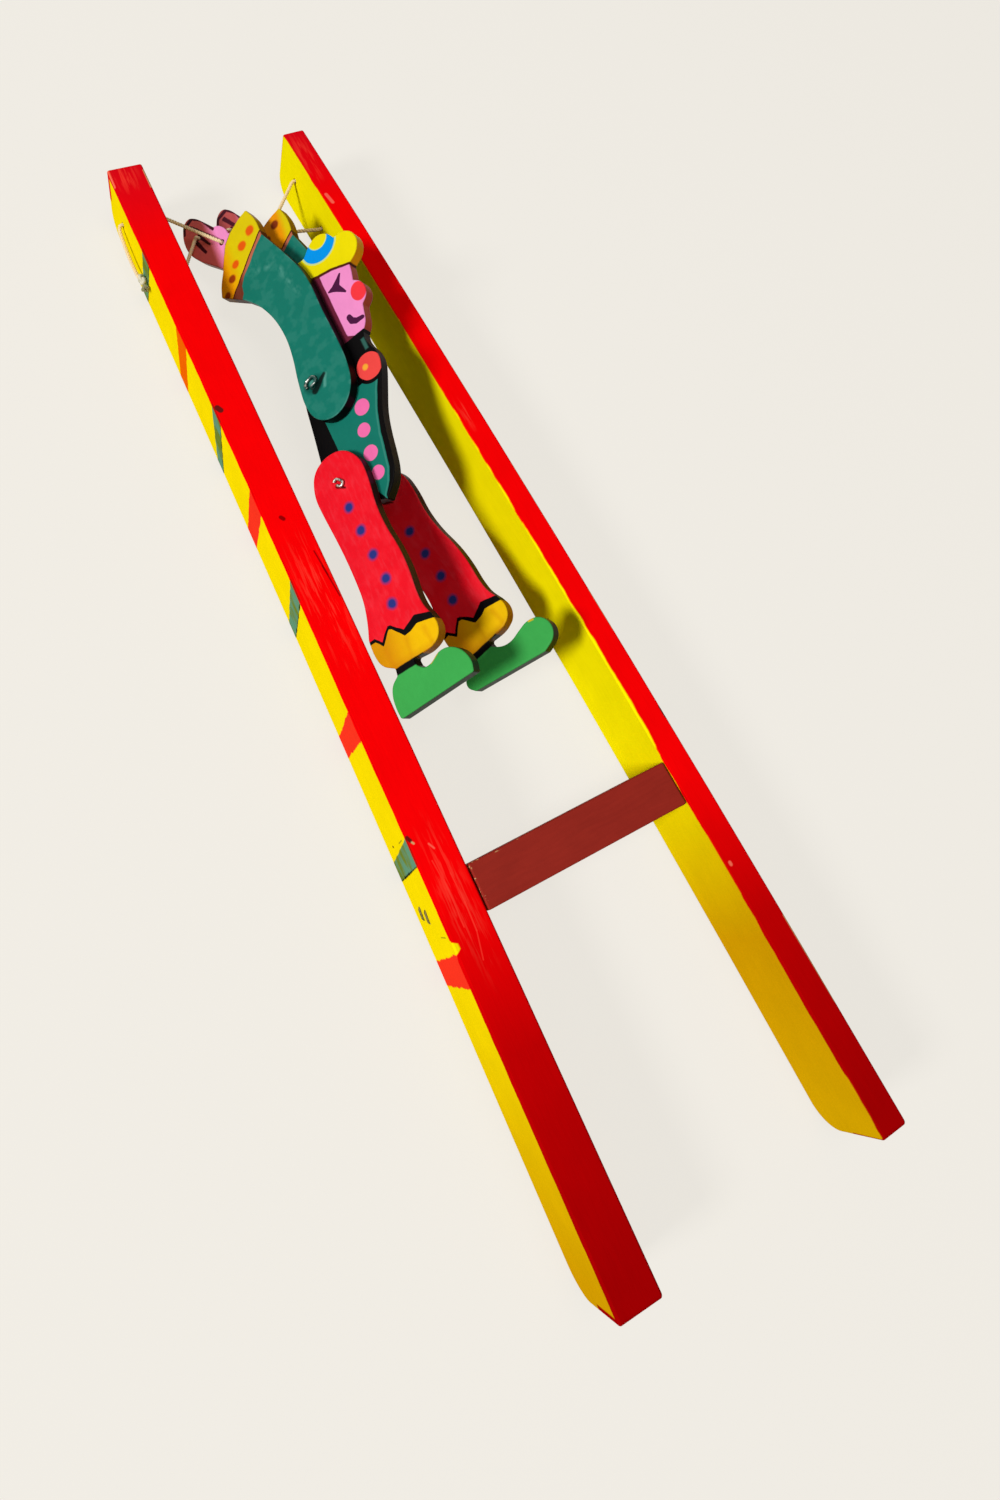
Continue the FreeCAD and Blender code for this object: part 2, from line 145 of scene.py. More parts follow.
class Field:
    """A number, place or colour that varies over a surface: one output of a material's nodes."""

    def __init__(self, tree, socket):
        self.tree = tree
        self.socket = socket

    def __add__(self, other):
        return maths("ADD", self, other)

    def __sub__(self, other):
        return maths("SUBTRACT", self, other)

    def __rsub__(self, other):
        return maths("SUBTRACT", other, self)

    def __mul__(self, other):
        return maths("MULTIPLY", self, other)


def feed(tree, socket, value):
    """Link a varying value to a node's socket, or set a fixed one on it."""
    if isinstance(value, Field):
        tree.links.new(value.socket, socket)
    else:
        socket.default_value = value


def combine(kind, operation, values, output=0, clamp=False):
    """One node of arithmetic on fixed or varying values."""
    tree = next(value.tree for value in values if isinstance(value, Field))
    node = tree.nodes.new(kind)
    node.operation = operation
    if clamp:
        node.use_clamp = True
    for socket, value in zip(node.inputs, values):
        feed(tree, socket, value)
    return Field(tree, node.outputs[output])


def maths(operation, *values, clamp=False):
    return combine("ShaderNodeMath", operation, values, clamp=clamp)


def vector_maths(operation, *values, output=0):
    return combine("ShaderNodeVectorMath", operation, values, output)


def both(first, second):
    """Two outlines' overlap: each is a distance that is negative inside."""
    return maths("MAXIMUM", first, second)


def either(first, second):
    """Two outlines joined into one."""
    return maths("MINIMUM", first, second)


def covered(distance, softness=0.12):
    """How far a spot is covered by paint whose outline is at distance 0."""
    return maths("MULTIPLY_ADD", distance, -1 / softness, 0.5, clamp=True)


def over(under, colour, amount):
    """One coat of paint over another, through the mix node's colour sockets."""
    tree = amount.tree
    node = tree.nodes.new("ShaderNodeMix")
    node.data_type = "RGBA"
    tree.links.new(amount.socket, node.inputs[0])
    feed(tree, node.inputs[6], under)
    feed(tree, node.inputs[7], colour)
    return Field(tree, node.outputs[2])


def noise(place, scale, detail=2.0, roughness=0.5, output=0):
    """A cloudy number from 0 to 1, or with output 1 a cloudy colour."""
    tree = place.tree
    node = tree.nodes.new("ShaderNodeTexNoise")
    node.inputs["Scale"].default_value = scale
    node.inputs["Detail"].default_value = detail
    node.inputs["Roughness"].default_value = roughness
    tree.links.new(place.socket, node.inputs["Vector"])
    return Field(tree, node.outputs[output])


def along_line(tree, place, start, end):
    """How far along a line the nearest spot is, and how far the place is from it."""
    start = Vector(start)
    along = Vector(end) - start
    offset = vector_maths("SUBTRACT", place, tuple(start))
    reach = vector_maths("DOT_PRODUCT", offset, tuple(along / along.length_squared), output=1)
    reach = maths("ADD", reach, 0.0, clamp=True)
    nearest = tree.nodes.new("ShaderNodeVectorMath")
    nearest.operation = "SCALE"
    nearest.inputs[0].default_value = tuple(along)
    tree.links.new(reach.socket, nearest.inputs["Scale"])
    return reach, vector_maths("DISTANCE", offset, Field(tree, nearest.outputs[0]), output=1)


class Plane:
    """Places on a painted surface, in millimetres, with the small wander of a hand-held brush."""

    def __init__(self, tree, axes, centre, wander=0.25):
        source = tree.nodes.new("ShaderNodeTexCoord")
        mapping = tree.nodes.new("ShaderNodeMapping")
        mapping.inputs["Scale"].default_value = (1 / MM,) * 3
        mapping.inputs["Rotation"].default_value = axes.to_euler("XYZ")
        mapping.inputs["Location"].default_value = -(axes @ centre) / MM
        tree.links.new(source.outputs["Object"], mapping.inputs["Vector"])
        self.tree = tree
        self.exact = Field(tree, mapping.outputs["Vector"])
        drift = vector_maths("SUBTRACT", noise(self.exact, 0.35, output=1), (0.5, 0.5, 0.5))
        moved = vector_maths("MULTIPLY", drift, (2 * wander, 2 * wander, 0))
        self.spot = vector_maths("ADD", self.exact, moved)
        self.x, self.y, self.z = self.parts(self.spot)
        self.flat = vector_maths("MULTIPLY", self.spot, (1, 1, 0))

    def parts(self, place):
        """A place's three numbers."""
        node = self.tree.nodes.new("ShaderNodeSeparateXYZ")
        self.tree.links.new(place.socket, node.inputs[0])
        return [Field(self.tree, output) for output in node.outputs]

    def stretched(self, x, y, z):
        """The same places with each direction scaled, for streaks."""
        return vector_maths("MULTIPLY", self.exact, (x, y, z))

    def disc(self, centre, radius):
        return vector_maths("DISTANCE", self.flat, (*centre, 0), output=1) - radius

    def oval(self, centre, half_width, half_height):
        squeezed = vector_maths("MULTIPLY", self.flat, (1 / half_width, 1 / half_height, 0))
        middle = (centre[0] / half_width, centre[1] / half_height, 0)
        return (vector_maths("DISTANCE", squeezed, middle, output=1) - 1.0) * min(half_width, half_height)

    def stroke(self, start, end, start_width, end_width=None):
        """A brush stroke that may narrow to its end."""
        reach, away = along_line(self.tree, self.flat, (*start, 0), (*end, 0))
        if end_width is None:
            return away - start_width / 2
        return away - maths("MULTIPLY_ADD", reach, (end_width - start_width) / 2, start_width / 2)

    def strokes(self, points, *widths):
        """Joined brush strokes through several points, with a width at each point."""
        shape = None
        for i, (a, b) in enumerate(zip(points, points[1:])):
            ends = widths[i:i + 2] if len(widths) > 1 else widths
            line = self.stroke(a, b, *ends)
            shape = either(shape, line) if shape else line
        return shape

    def follow(self, along, points):
        """A painted border: its place across the surface for each place along it."""
        low, high = points[0][0], points[-1][0]
        least = min(value for _, value in points)
        spread = max(value for _, value in points) - least
        ranged = self.tree.nodes.new("ShaderNodeMapRange")
        ranged.inputs["From Min"].default_value = low
        ranged.inputs["From Max"].default_value = high
        self.tree.links.new(along.socket, ranged.inputs["Value"])
        node = self.tree.nodes.new("ShaderNodeFloatCurve")
        curve = node.mapping.curves[0]
        places = [((a - low) / (high - low), (value - least) / spread) for a, value in points]
        curve.points[0].location = places[0]
        curve.points[1].location = places[-1]
        for place in places[1:-1]:
            curve.points.new(*place)
        for point in curve.points:
            point.handle_type = "VECTOR"
        node.mapping.update()
        self.tree.links.new(ranged.outputs[0], node.inputs["Value"])
        return maths("MULTIPLY_ADD", Field(self.tree, node.outputs[0]), spread, least)

    def above(self, points):
        """Negative above a border given as (x, y) points."""
        return self.follow(self.x, points) - self.y

    def right_of(self, points):
        """Negative on the face's side of a border given as (y, x) points."""
        return self.follow(self.y, points) - self.x

    def sides(self, face):
        """Negative on the cut edges of a board whose near face is at this height."""
        away = maths("ABSOLUTE", self.z - (face - BOARD / 2))
        return away - (BOARD / 2 - 0.3)

    def rim(self, face):
        """Patches along the rounded rim of a board's near face: worn paint with a painted highlight."""
        band = maths("ABSOLUTE", self.z - (face - 0.18)) - 0.15
        return covered(band, 0.1) * covered(0.53 - noise(self.exact, 0.22, 2.0), 0.1)


def enamel(name, axes, centre, painted, streak=(0.5, 0.2, 0.5), wander=0.25, roughness=0.36, gloss=0.05):
    """A hand-brushed enamel whose colours are chosen by painted(plane)."""
    material = bpy.data.materials.new(name)
    material.use_nodes = True
    tree = material.node_tree
    shader = tree.nodes["Principled BSDF"]
    plane = Plane(tree, axes, centre, wander)
    colour = painted(plane)
    brushed = noise(plane.stretched(*streak), 1.6, 4.0, 0.62)
    cloudy = noise(plane.exact, 0.11, 2.0)
    tone = tree.nodes.new("ShaderNodeHueSaturation")
    value = maths("MULTIPLY_ADD", brushed, 0.14, 0.93) * maths("MULTIPLY_ADD", cloudy, 0.14, 0.93)
    tree.links.new(value.socket, tone.inputs["Value"])
    tree.links.new(colour.socket, tone.inputs["Color"])
    tree.links.new(tone.outputs["Color"], shader.inputs["Base Color"])
    sheen = maths("MULTIPLY_ADD", brushed, 0.24, roughness - 0.12)
    tree.links.new(sheen.socket, shader.inputs["Roughness"])
    shader.inputs["Specular IOR Level"].default_value = gloss
    grain = noise(plane.stretched(*streak), 3.2, 3.0)
    pits = noise(plane.exact, 0.5, 3.0)
    height = maths("MULTIPLY_ADD", grain, 0.7, pits * 1.2)
    bump = tree.nodes.new("ShaderNodeBump")
    bump.inputs["Strength"].default_value = 0.4
    bump.inputs["Distance"].default_value = 0.1 * MM
    tree.links.new(height.socket, bump.inputs["Height"])
    tree.links.new(bump.outputs["Normal"], shader.inputs["Normal"])
    return material


def figure_plane():
    """The clown's own axes and the place of its zero, from the hip joint."""
    pin = next(joint for joint in frame["joints"] if joint["name"] == "near_hip")
    out = Vector(pin["axis"]).normalized()
    across = Vector((out.z, 0, -out.x)).normalized()
    up = out.cross(across)
    axes = Matrix((across, up, out))
    return axes, Vector(pin["pos_m"]) - axes.transposed() @ (HIP_PIN * MM)


def turned_plane(axes, centre, pin, turn):
    """The plane of a cut-out that is turned about a pin, so that its own painting turns with it."""
    pivot = centre + axes.transposed() @ (Vector((*pin, 0)) * MM)
    turned = Matrix.Rotation(-turn, 3, "Z") @ axes
    return turned, pivot - turned.transposed() @ (Vector((*pin, 0)) * MM)


def arm_paint(face, near):
    """A teal sleeve, a dotted cuff and a pink hand, with the wire's marks on the near arm alone."""
    # The borders between the paints, from the hand down to the sleeve
    hand_edge = [(-13, 83), (-11, 88.2), (-7.6, 93.3), (-5, 98), (-3.5, 100.5), (0, 103.2), (5, 105.3),
                 (9, 106.4)]
    cuff_edge = [(-12, 78.5), (-8.5, 80.5), (-6.1, 82.5), (0, 87.2), (5, 91.0), (11, 95.2)]
    sleeve_edge = [(-12, 70), (-4.2, 79), (-3.6, 82), (-1, 84.9), (1.6, 86.6), (5, 89.3), (11, 93.4)]
    near_dots = [(7.0, 97.8, 1.75), (2.2, 95.1, 1.75), (-2.6, 90.9, 1.5), (-5.9, 87.1, 1.5),
                 (-9.9, 83.0, 1.3)]
    far_dots = [(5.1, 101.2, 1.6), (0.6, 97.8, 1.5), (-4.2, 93.2, 1.5), (-8.6, 87.4, 1.3)]
    smears = [((2.8, 87.1), (3.9, 82.0)), ((7.3, 80.6), (11.8, 81.3)), ((11.1, 76.6), (12.5, 69.0)),
              ((12.5, 69.0), (14.1, 64.2))]
    hand_outline = [(-16.4, 117.0), (-15.6, 119.6), (-11.0, 120.9), (-7.4, 117.0), (-5.3, 110.0)]
    outline_widths = (0.8, 1.3, 1.9, 2.0, 1.1)
    fingers = [((-13.2, 118.0), (-7.2, 108.2), 1.6, 1.0), ((-13.4, 111.6), (-11.2, 104.4), 1.7, 1.1),
               ((-11.4, 112.4), (-8.6, 106.0), 1.4, 0.9)]

    def painted(plane):
        sides = plane.sides(face)
        chalk = covered(0.54 - noise(plane.stretched(0.5, 0.3, 0.5), 0.8, 2.0), 0.25)
        # Paler rim: worn paint with a painted highlight
        colour = over(TEAL, PALE_TEAL, plane.rim(face) * 0.6)
        for start, end in smears:
            colour = over(colour, PALE_TEAL, covered(plane.stroke(start, end, 1.6, 1.0), 1.8) * chalk * 0.9)
        if near:
            # A dark paint pool round the wire, with the wire's painted shadow
            pool_and_shadow = plane.oval((5.6, 33.0), 3.6, 2.8)
            rubbed = plane.disc((5.1, 33.8), 0.95)
            scratch = plane.stroke((10.3, 33.4), (8.7, 30.2), 0.9)
            dent = plane.stroke((5.0, 30.8), (9.9, 33.7), 2.3, 1.3)
            colour = over(colour, DEEP_TEAL, covered(pool_and_shadow, 1.2) * 0.7)
            colour = over(colour, PALE_TEAL, covered(rubbed, 0.5) * 0.8)
            colour = over(colour, PALE_TEAL, covered(scratch, 0.8) * 0.9)
            colour = over(colour, BLACK, covered(dent, 0.5) * 0.9)
        colour = over(colour, BLACK, covered(sides))
        salmon = over(SALMON, BROWN, covered(sides))
        # Painted shade over the left part of the band between sleeve and cuff
        salmon = over(salmon, BROWN, covered(plane.x + 1.5, 4.0) * 0.8)
        colour = over(colour, salmon, covered(plane.above(sleeve_edge)))
        cuff = plane.above(cuff_edge)
        # Painted shadow over the cuff's left part and its dots
        cuff_shadow = covered(plane.x + 4.5, 6.0) if near else covered(plane.x - 7.8, 2.5)
        dot_shadow = covered(plane.x + 4.4, 1.5) * 0.7 if near else cuff_shadow * 0.8
        yellow = over(CUFF_YELLOW, CUFF_SHADOWED, cuff_shadow * 0.9)
        for x, y, radius in near_dots if near else far_dots:
            dot = over(CUFF_DOT, BROWN, dot_shadow)
            yellow = over(yellow, dot, covered(plane.disc((x, y), radius), 0.7))
        yellow = over(yellow, MUSTARD, covered(sides))
        colour = over(colour, yellow, covered(cuff))
        colour = over(colour, BROWN, covered(maths("ABSOLUTE", cuff) - 0.32))
        # Painted shadow over the hand's left part, deeper on the far hand
        hand_shadow = covered(plane.x + 6.8, 4.0)
        hand = over(PINK, PINK_SHADOWED, hand_shadow * 0.85)
        if not near:
            hand = over(hand, BROWN, hand_shadow * 0.45)
        hand = over(hand, MAROON, covered(plane.strokes(hand_outline, *outline_widths), 0.3))
        for start, end, width, end_width in fingers:
            hand = over(hand, MAROON, covered(plane.stroke(start, end, width, end_width), 0.3))
        hand = over(hand, SKIN_SIDE, covered(sides))
        hand_line = plane.above(hand_edge)
        colour = over(colour, hand, covered(hand_line))
        return over(colour, BROWN, covered(maths("ABSOLUTE", hand_line) - 0.18) * 0.7)
    return painted


def torso_paint(face):
    """A teal jacket on a black ground, its buttons and collar, the face with a painted shadow at its back,
    and the hat.
    """
    jacket_right = [(-11, 9.9), (-9.8, 10.2), (-6.5, 12.9), (-3, 14.6), (2, 15.6), (8, 16.8), (14.2, 18.6),
                    (20, 21.3), (24.5, 23.8), (26, 24.6)]
    jacket_left = [(-11, 9.8), (-9.8, 9.4), (-4, 6.6), (2, 3.7), (10, 1.9), (18, 1.8), (26, 1.6)]
    hat_edge = [(6, 69.0), (17, 68.5), (20, 67.3), (25, 66.0), (31.2, 63.2), (39, 60.0)]
    chin = [(17, 43.5), (20.6, 42.0), (22.4, 40.6), (26.2, 40.4), (29, 43.0)]
    face_left = [(38, 21.2), (43, 20.3), (67, 20.3), (69, 20.3)]
    face_shadow_edge = [(38, 18.2), (43, 17.4), (67, 17.4), (69, 17.4)]
    buttons = [(14.7, 18.8, 2.6), (12.2, 12.1, 2.25), (11.1, 4.5, 2.45), (10.7, -2.2, 2.2)]
    eye = (23.7, 59.4)
    eye_tips = [(26.8, 62.5), (21.0, 59.7), (26.1, 55.8)]
    smile = [(23.4, 47.2), (23.8, 45.5), (25.1, 44.5), (27.3, 44.2)]

    def painted(plane):
        sides = plane.sides(face)
        right_line = plane.x - plane.follow(plane.y, jacket_right)
        jacket = both(both(plane.right_of(jacket_left), right_line), plane.y - 25.3)
        # The black ground left of the jacket is black paint together with painted shadow of the near arm
        colour = over(BLACK, TEAL, covered(jacket))
        # Painted highlight along the jacket's right edge
        edge_highlight = maths("ABSOLUTE", right_line + 0.55) - 0.2
        colour = over(colour, PALE_TEAL, covered(edge_highlight, 0.5) * covered(jacket) * 0.5)
        # Painted highlight on the black neck
        neck_highlight = both(both(23.6 - plane.x, plane.x - 24.8), both(34.0 - plane.y, plane.y - 38.0))
        colour = over(colour, PALE_TEAL, covered(neck_highlight, 0.5) * 0.35)
        for x, y, radius in buttons:
            colour = over(colour, BUTTON_PINK, covered(plane.disc((x, y), radius)))
        collar_shade = both(plane.disc((22.3, 28.3), 5.2), plane.y - 27.4)
        colour = over(colour, BLACK, covered(collar_shade))
        colour = over(colour, COLLAR_CORAL, covered(plane.disc((22.4, 28.7), 4.4)))
        colour = over(colour, COLLAR_DOT, covered(plane.disc((21.1, 29.2), 1.0), 0.5))
        colour = over(colour, BLACK, covered(both(sides, plane.y - 40.0)))
        head = both(40.6 - plane.y, plane.right_of(face_shadow_edge))
        # Painted shadow of the near arm along the back of the face, maroon over black
        face_shadow = over(BLACK, FACE_SHADOW, covered(18.2 - plane.x, 2.0))
        skin = over(face_shadow, PINK, covered(both(plane.right_of(face_left), plane.above(chin)), 0.25))
        skin = over(skin, NOSE_RED, covered(plane.oval((29.9, 52.7), 2.75, 3.3), 0.25))
        for tip in eye_tips:
            skin = over(skin, EYE_PURPLE, covered(plane.stroke(eye, tip, 2.9, 0.7)))
        skin = over(skin, EYE_PURPLE, covered(plane.strokes(smile, 1.9, 2.1, 1.9, 1.5)))
        skin = over(skin, SKIN_SIDE, covered(sides))
        colour = over(colour, skin, covered(head))
        hat_line = plane.above(hat_edge)
        hollow = plane.disc((25.2, 79.4), 3.5) * -1
        hat = over(HAT_YELLOW, HAT_TRIM, covered(plane.oval((24.6, 77.3), 7.1, 6.7)) * covered(hollow))
        hat = over(hat, HAT_BLUE, covered(both(plane.oval((24.6, 77.3), 6.5, 6.1), hollow + 0.3)))
        hat = over(hat, HAT_SIDE, covered(sides))
        colour = over(colour, hat, covered(hat_line))
        return over(colour, BROWN, covered(maths("ABSOLUTE", hat_line) - 0.5, 0.3))
    return painted


def leg_paint(face, dots, fleck):
    """A red leg with a row of dots, a yellow ruffle below a black zigzag, and a green shoe."""
    zigzag_high = [(-12, -46.1), (-9.2, -45.9), (-7.3, -48.0), (-4.1, -44.9), (-3.2, -45.1), (0.1, -48.3),
                   (2.2, -47.4), (4.6, -46.4), (10.5, -48.4)]
    zigzag_low = [(-12, -47.1), (-9.2, -47.0), (-7.4, -49.2), (-4.1, -46.0), (-3.2, -46.3), (-0.3, -49.9),
                  (2.0, -49.7), (4.3, -48.8), (10.5, -50.2)]
    folds = [((-7.4, -50.2), (-6.9, -55.4)), ((-0.3, -50.8), (-0.9, -55.8)), ((5.8, -51.0), (6.4, -56.0))]

    def painted(plane):
        sides = plane.sides(face)
        pale = noise(plane.stretched(0.6, 0.14, 0.6), 1.3, 3.0, 0.6)
        colour = over(LEG_RED, LEG_PALE, covered(0.60 - pale, 0.2) * 0.5)
        # Paler rim: worn paint with a painted highlight
        colour = over(colour, LEG_PALE, plane.rim(face) * 0.7)
        for spot in dots:
            colour = over(colour, LEG_DOT, covered(plane.disc(spot, 1.6), 1.1))
        wire_mark = plane.stroke((-0.9, -0.3), (1.2, -2.3), 1.5, 0.5)
        colour = over(colour, LEG_SIDE, covered(wire_mark, 0.4) * 0.9)
        colour = over(colour, LEG_SIDE, covered(sides))
        # Painted shadow over the ruffle's left part; the ruffle also darkens towards its bottom
        ruffle = over(RUFFLE, RUFFLE_SHADE, covered(plane.x + 2.0, 9.0) * 0.7)
        ruffle = over(ruffle, RUFFLE_SHADE, covered(plane.y + 55.6, 2.4) * 0.5)
        for start, end in folds:
            ruffle = over(ruffle, RUFFLE_SHADE, covered(plane.stroke(start, end, 1.2, 0.3), 1.6) * 0.4)
        ruffle = over(ruffle, RUFFLE_SHADE, covered(sides))
        low = plane.above(zigzag_low) * -1
        colour = over(colour, BLACK, covered(plane.above(zigzag_high) * -1))
        colour = over(colour, ruffle, covered(low))
        ankle = over(BLACK, RUFFLE_SHADE, covered(2.6 - plane.x, 0.5) * 0.8)
        colour = over(colour, ankle, covered(plane.y + 56.4, 0.3))
        shoe = over(SHOE_GREEN, RUFFLE, covered(plane.stroke(*fleck, 0.9, 0.5), 0.3) * 0.8)
        shoe = over(shoe, SHOE_SIDE, covered(sides))
        return over(colour, shoe, covered(plane.y + 58.3, 0.3))
    return painted


def rail_plane(side):
    """A rail's own axes and the place of its zero: its foot, halfway along it."""
    turn = Matrix.Rotation(-side * RAIL_TAPER, 3, "Z")
    centre = Vector((side * RAIL_CENTRE, -side * RAIL_STAGGER, 0)) * MM
    return turn, centre


def rail_border(y, z):
    """How far a place lies inside the rail's outline, seen from the side."""
    upper = covered(RAIL_HEIGHT / 2 - z)
    corner = maths("MULTIPLY_ADD", upper, RAIL_TOP_CORNER - RAIL_LOW_CORNER, RAIL_LOW_CORNER)
    along = maths("ABSOLUTE", y) - RAIL_LENGTH / 2 + corner
    tall = maths("ABSOLUTE", z - RAIL_HEIGHT / 2) - RAIL_HEIGHT / 2 + corner
    outside = maths("SQRT", maths("POWER", maths("MAXIMUM", along, 0.0), 2.0)
                    + maths("POWER", maths("MAXIMUM", tall, 0.0), 2.0))
    inside = maths("MINIMUM", maths("MAXIMUM", along, tall), 0.0)
    return upper, (outside + inside - corner) * -1


def rail_paint(side, bands, lap_line, wear_and_glints, marks):
    """Yellow wide faces with painted bands, and a red rim that laps unevenly over them.

    Side is -1 for the left rail and 1 for the right one, and the bands are on the outer face alone.
    The lap line gives how far down the faces the red comes, or onto the rim the yellow.
    """

    def painted(plane):
        x, y, z = plane.parts(plane.exact)
        bowed = x - maths("MULTIPLY_ADD", y * y, -4 * RAIL_BOW[side] / RAIL_LENGTH ** 2, RAIL_BOW[side])
        depth = RAIL_HALF[side] - maths("ABSOLUTE", bowed)
        upper, border = rail_border(y, z)
        mottle = noise(plane.stretched(1.0, 0.4, 1.0), 0.2, 2.0)
        ragged = maths("MULTIPLY_ADD", noise(plane.stretched(1.0, 0.5, 1.0), 0.35, 3.0, 0.6), 1.5, -0.75)
        # The yellow grows darker towards the handle end
        colour = over(YELLOW[side], YELLOW_DARKER_END, plane.follow(y, YELLOW_DARKENING[side]))
        greens = None
        for place, half, slant, shade in bands:
            middle = y - maths("MULTIPLY_ADD", z, slant, place - 14 * slant)
            width = maths("MULTIPLY_ADD", z, 0.04, half - 0.55)
            outer = both(maths("ABSOLUTE", middle + ragged) - width, bowed * -side)
            if shade == BAND_GREEN:
                shadow = both(maths("ABSOLUTE", middle + 0.4 - ragged * 0.7) - width, bowed * -side)
                colour = over(colour, BAND_EDGE, covered(shadow, 0.3))
                shade = over(BAND_GREEN, BAND_OLIVE, covered(0.52 - mottle, 0.14))
                greens = either(greens, outer) if greens else outer
            colour = over(colour, shade, covered(outer, 0.35))
        lap = maths("MULTIPLY_ADD", covered(bowed), plane.follow(y, lap_line) - 1.0, 1.0)
        lap = lap + maths("MULTIPLY_ADD", noise(plane.stretched(0.2, 1, 0.2), 0.16), 1.2, -0.6)
        lap = maths("MULTIPLY_ADD", upper, lap + 0.5, -0.5)
        # Painted shade and sheen dull the red at the string's end; streaks are wear and painted glints
        red = over(RED, RED_SHADED_END, covered(152 - y, 34) * 0.8)
        wear_and_glint_lines = covered(0.56 - noise(plane.stretched(1.0, 0.07, 1.0), 1.3, 3.0, 0.6), 0.1)
        for centre, half_width, half_length in wear_and_glints:
            worn = covered(plane.oval(centre, half_width, half_length), half_width)
            red = over(red, RED_WEAR_AND_GLINT, worn * wear_and_glint_lines * 0.6)
        # The red grows darker towards the handle end
        red = over(red, RED_DARKER_END, plane.follow(y, RED_DARKENING))
        red = over(red, BAND_EDGE, covered(greens, 0.5) * covered(depth - 0.3, 0.2) * 0.5)
        red = over(red, RED_EDGE, covered(maths("SQRT", border * border + depth * depth) - 0.3, 0.3) * mottle)
        rim = both(border - maths("MAXIMUM", lap, 0.35), lap * -1 - depth)
        colour = over(colour, red, covered(rim, 0.4))
        for start, end, mark_width, shade in marks:
            apart = along_line(plane.tree, plane.exact, start, end)[1] - mark_width / 2
            colour = over(colour, shade, covered(apart, 0.3) * 0.9)
        return colour
    return painted


def crossbar_paint(plane):
    """Dark red, with chips along the top edge by the left rail."""
    worn = covered(0.62 - noise(plane.stretched(0.5, 1.2, 1.2), 0.9, 3.0, 0.6), 0.06)
    colour = over(CROSSBAR_RED, CROSSBAR_DARK, noise(plane.stretched(0.15, 1.0, 1.0), 1.1, 3.0) * 0.5)
    rim = along_line(plane.tree, plane.exact, (-28, -71.9, 24.8), (-10, -71.8, 24.8))[1] - 0.6
    end = along_line(plane.tree, plane.exact, (-28.6, -83.6, 24.8), (-28.7, -72.0, 24.8))[1] - 0.45
    return over(colour, PALE_CHIP, worn * covered(either(rim, end), 0.3) * 0.8)


def wire(name, colour, coat, coated, roughness):
    """Bent steel wire, with patches of the paint that ran on it."""
    material = bpy.data.materials.new(name)
    material.use_nodes = True
    tree = material.node_tree
    shader = tree.nodes["Principled BSDF"]
    plane = Plane(tree, Matrix.Identity(3), Vector())
    patches = covered(noise(plane.exact, 0.9, 3.0) - coated, 0.06)
    dulled = over(colour, TARNISH, covered(0.52 - noise(plane.exact, 1.4, 3.0), 0.2) * 0.7)
    tree.links.new(over(dulled, coat, patches).socket, shader.inputs["Base Color"])
    tree.links.new((1.0 - patches).socket, shader.inputs["Metallic"])
    dull = noise(plane.exact, 2.2, 3.0)
    tree.links.new(maths("MULTIPLY_ADD", dull, 0.3, roughness - 0.1).socket, shader.inputs["Roughness"])
    bump = tree.nodes.new("ShaderNodeBump")
    bump.inputs["Strength"].default_value = 0.3
    bump.inputs["Distance"].default_value = 0.05 * MM
    tree.links.new(dull.socket, bump.inputs["Height"])
    tree.links.new(bump.outputs["Normal"], shader.inputs["Normal"])
    return material


def twine(name, colour, shade):
    """Natural string: matt, with darker and paler fibres."""
    material = bpy.data.materials.new(name)
    material.use_nodes = True
    tree = material.node_tree
    shader = tree.nodes["Principled BSDF"]
    plane = Plane(tree, Matrix.Identity(3), Vector())
    fibres = noise(plane.exact, 4.5, 3.0, 0.7)
    tree.links.new(over(colour, shade, fibres).socket, shader.inputs["Base Color"])
    shader.inputs["Roughness"].default_value = 0.85
    shader.inputs["Specular IOR Level"].default_value = 0.2
    bump = tree.nodes.new("ShaderNodeBump")
    bump.inputs["Strength"].default_value = 0.5
    bump.inputs["Distance"].default_value = 0.05 * MM
    tree.links.new(fibres.socket, bump.inputs["Height"])
    tree.links.new(bump.outputs["Normal"], shader.inputs["Normal"])
    return material


def dress(node, material):
    """Give a node its one material."""
    slots = frame["nodes"][node].data.materials
    slots.clear()
    slots.append(material)


def dress_figure():
    """The clown's five cut-outs, each painted on its own plane."""
    axes, centre = figure_plane()
    near_dots = [(-0.3, -8.2), (0.3, -16.5), (0.7, -24.8), (1.4, -33.0), (0.0, -40.2)]
    far_dots = [(0.0, -13.7), (-0.2, -22.8), (-0.4, -31.7), (-1.8, -39.8)]
    near_fleck = ((3.4, -60.0), (6.2, -58.9))
    far_fleck = ((12.6, -60.3), (13.6, -60.8))
    far_arm = turned_plane(axes, centre, SHOULDER_PIN, FAR_ARM_TURN)
    far_leg = turned_plane(axes, centre, HIP_PIN.xy, FAR_LEG_TURN)
    dress("near_arm", enamel("near_arm_enamel", axes, centre, arm_paint(0.0, True)))
    dress("far_arm", enamel("far_arm_enamel", *far_arm, arm_paint(FAR_ARM_FACE, False)))
    dress("torso_and_head", enamel("torso_enamel", axes, centre, torso_paint(TORSO_FACE), wander=0.15))
    dress("near_leg", enamel("near_leg_enamel", axes, centre, leg_paint(0.0, near_dots, near_fleck)))
    dress("far_leg", enamel("far_leg_enamel", *far_leg, leg_paint(FAR_LEG_FACE, far_dots, far_fleck)))


